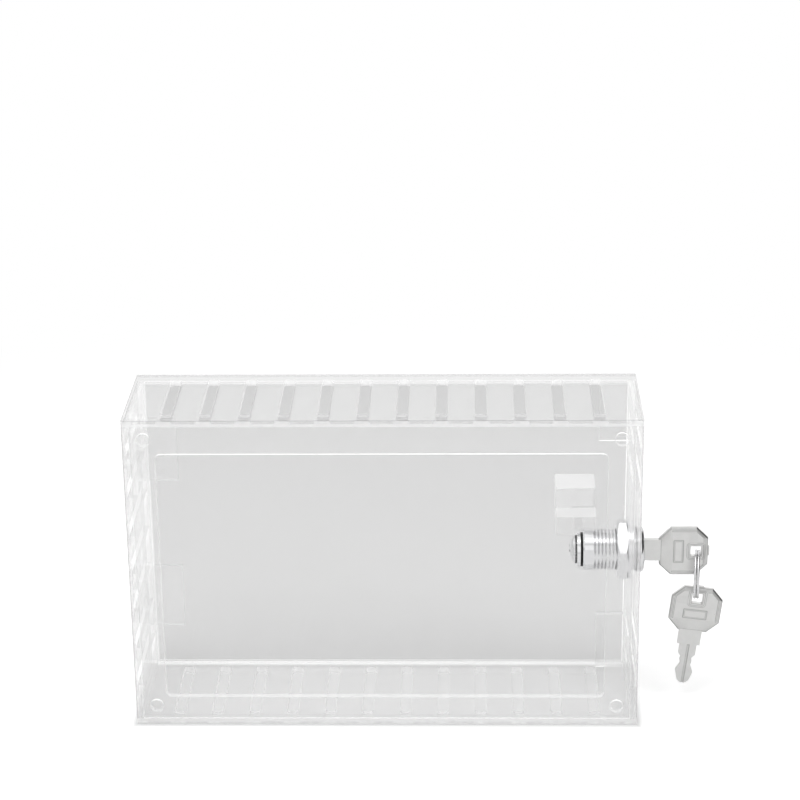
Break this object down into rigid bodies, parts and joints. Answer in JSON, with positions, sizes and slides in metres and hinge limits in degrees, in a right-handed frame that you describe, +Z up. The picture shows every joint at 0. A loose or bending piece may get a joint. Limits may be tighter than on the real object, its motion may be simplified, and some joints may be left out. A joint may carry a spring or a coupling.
{
  "type": "clear thermostat lock box",
  "caption": "Clear vented wall box that covers a thermostat, with an open wall frame, a hinged front door on clear pin hinges, and a keyed cam lock with keys on a ring.",
  "frame": {"origin": "middle of the wall face of the base frame, at the centre of its four screw holes", "axes": "+X towards the lock side, +Y away from the wall towards the door, +Z up as pictured"},
  "size_m": [0.2669, 0.0641, 0.144],
  "materials": {
    "clear_sheet": "clear acrylic sheet, polished faces and laser-cut edges",
    "clear_moulding": "clear moulded plastic, smooth",
    "bright_plating": "bright plated zinc and steel",
    "key_nickel": "nickel-plated sheet metal, satin",
    "spring_steel": "bright drawn wire",
    "wafer_brass": "stamped brass, plain"
  },
  "bodies": {
    "case": {"base_frame": "clear_sheet", "top_panel": "clear_sheet", "bottom_panel": "clear_sheet", "left_panel": "clear_sheet", "right_panel": "clear_sheet", "upper_stop_block": "clear_sheet", "lower_stop_block": "clear_sheet", "upper_hinge_case_leaf": "clear_moulding", "lower_hinge_case_leaf": "clear_moulding", "upper_hinge_pin": "clear_moulding", "lower_hinge_pin": "clear_moulding", "lock_barrel": "bright_plating", "lock_nut": "bright_plating", "lock_washer": "bright_plating"},
    "door": {"door_panel": "clear_sheet", "catch_block": "clear_sheet", "upper_hinge_door_leaf": "clear_moulding", "lower_hinge_door_leaf": "clear_moulding"},
    "plug": {"lock_plug": "bright_plating", "lock_wafers": "wafer_brass", "wafer_springs": "spring_steel", "stop_washer": "bright_plating", "lock_cam": "bright_plating", "cam_screw": "bright_plating"},
    "inserted_key": {"inserted_key": "key_nickel"},
    "key_ring": {"key_ring": "spring_steel"},
    "spare_key": {"spare_key": "key_nickel"}
  },
  "joints": [
    {"name": "door_hinge", "type": "hinge", "parent": "case", "child": "door", "pos_m": [-0.115, 0.061, 0], "axis": [0, 0, 1], "range_deg": [0, 180]},
    {"name": "plug_turn", "type": "hinge", "parent": "case", "child": "plug", "pos_m": [0.1, 0.028, 0], "axis": [1, 0, 0], "range_deg": [0, 90]},
    {"name": "key_slide", "type": "slide", "parent": "plug", "child": "inserted_key", "axis": [1, 0, 0], "range_m": [0, 0.02]},
    {"name": "ring_swing", "type": "hinge", "parent": "inserted_key", "child": "key_ring", "pos_m": [0.137, 0.028, -0.0018], "axis": [0, -1, 0], "range_deg": [-8, 30]},
    {"name": "spare_key_swing", "type": "hinge", "parent": "key_ring", "child": "spare_key", "pos_m": [0.137, 0.028, -0.0223], "axis": [0, -1, 0], "range_deg": [-15, 30]}
  ]
}
